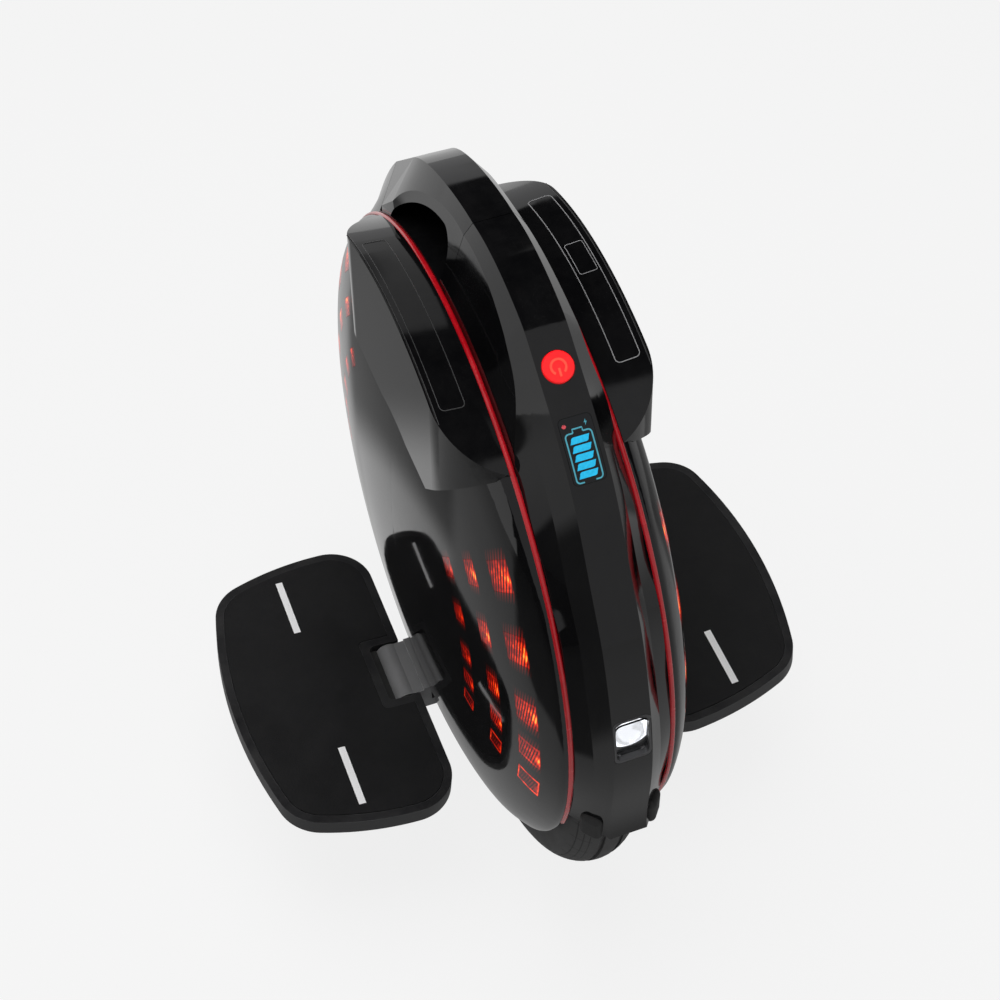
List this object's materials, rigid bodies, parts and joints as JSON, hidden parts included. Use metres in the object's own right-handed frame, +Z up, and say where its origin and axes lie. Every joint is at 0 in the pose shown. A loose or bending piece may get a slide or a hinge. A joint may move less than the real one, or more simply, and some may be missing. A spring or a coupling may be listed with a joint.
{
  "type": "electric_unicycle",
  "caption": "Black self-balancing electric unicycle with red trims, folding pedals, carry handle, headlight, side lights and leg pads.",
  "frame": {"origin": "On the ground under the middle of the wheel, at the bottom centre of the bounding box.", "axes": "X runs along the wheel axle to the right pedal, -Y points to the front with the headlight, Z is up."},
  "size_m": [0.3928, 0.4429, 0.5182],
  "materials": {
    "gloss_black": "piano-black gloss moulding",
    "red_trim": "gloss red accent strip",
    "red_button": "smooth bright red cap",
    "red_lens": "clear red moulding",
    "tile_lens": "smoked light window",
    "clear_lens": "clear moulding",
    "display_glass": "smoked display window",
    "white_reflector": "white gloss bowl",
    "tyre_rubber": "treaded road rubber",
    "tube_rubber": "plain black butyl",
    "mat_rubber": "fine grained grip mat",
    "bumper_rubber": "soft black rubber",
    "pedal_alloy": "satin black coated casting",
    "bracket_alloy": "blasted grey casting",
    "rim_alloy": "turned alloy",
    "steel": "machined steel",
    "stator_steel": "stacked laminations",
    "copper": "enamelled copper wire",
    "magnet": "nickel plated magnet",
    "frame_plastic": "fine textured black nylon",
    "battery_wrap": "blue shrink wrap",
    "board": "green circuit board",
    "switch_plastic": "satin black key"
  },
  "bodies": {
    "frame": {"motor_axle": "steel", "axle_nuts": "steel", "stator_core": "stator_steel", "stator_windings": "copper", "side_frame_left": "frame_plastic", "side_frame_right": "frame_plastic", "wheel_arch": "frame_plastic", "front_spine_cover": "gloss_black", "rear_spine_cover": "gloss_black", "handle": "gloss_black", "trim_left": "red_trim", "trim_right": "red_trim", "side_cover_left": "gloss_black", "side_cover_right": "gloss_black", "light_tiles_left": "tile_lens", "light_tiles_right": "tile_lens", "light_board_left": "board", "light_board_right": "board", "leg_pad_left": "gloss_black", "leg_pad_right": "gloss_black", "pad_panel_left": "gloss_black", "pad_panel_right": "gloss_black", "pedal_bracket_left": "bracket_alloy", "pedal_bracket_right": "bracket_alloy", "pedal_pin_left": "steel", "pedal_pin_right": "steel", "headlight_reflector": "white_reflector", "headlight_lens": "clear_lens", "headlight_chip": "white_reflector", "tail_light_lens": "red_lens", "tail_light_board": "board", "display_window": "display_glass", "display_board": "board", "button_cup": "frame_plastic", "corner_bumpers": "bumper_rubber", "battery_pack_left": "battery_wrap", "battery_pack_right": "battery_wrap", "heat_sink": "rim_alloy", "control_board": "board", "charge_socket": "switch_plastic"},
    "wheel": {"tyre": "tyre_rubber", "inner_tube": "tube_rubber", "wheel_rim": "rim_alloy", "rotor_magnets": "magnet", "motor_cover_left": "rim_alloy", "motor_cover_right": "rim_alloy", "wheel_bearing_left": "steel", "wheel_bearing_right": "steel", "motor_cover_screws": "steel", "tyre_valve": "steel"},
    "left_pedal": {"pedal_left": "pedal_alloy", "pedal_mat_left": "mat_rubber"},
    "right_pedal": {"pedal_right": "pedal_alloy", "pedal_mat_right": "mat_rubber"},
    "button": {"power_button": "red_button"},
    "handle_switch": {"lift_switch": "switch_plastic"},
    "port_door": {"charge_door": "bumper_rubber"}
  },
  "joints": [
    {"name": "wheel_spin", "type": "hinge", "parent": "frame", "child": "wheel", "pos_m": [0, 0, 0.203], "axis": [1, 0, 0], "continuous": true},
    {"name": "left_pedal_fold", "type": "hinge", "parent": "frame", "child": "left_pedal", "pos_m": [-0.078, 0, 0.115], "axis": [0, 1, 0], "range_deg": [0, 80]},
    {"name": "right_pedal_fold", "type": "hinge", "parent": "frame", "child": "right_pedal", "pos_m": [0.078, 0, 0.115], "axis": [0, -1, 0], "range_deg": [0, 80]},
    {"name": "button_press", "type": "slide", "parent": "frame", "child": "button", "axis": [0, 0.5869, -0.8097], "range_m": [0, 0.0012], "stiffness_N_per_m": 900},
    {"name": "handle_switch_press", "type": "slide", "parent": "frame", "child": "handle_switch", "axis": [0, 0.1736, 0.9848], "range_m": [0, 0.0016], "stiffness_N_per_m": 700},
    {"name": "port_door_swing", "type": "hinge", "parent": "frame", "child": "port_door", "pos_m": [0.0477, -0.0015, 0.46915], "axis": [0, -1, 0], "range_deg": [0, 95]}
  ]
}
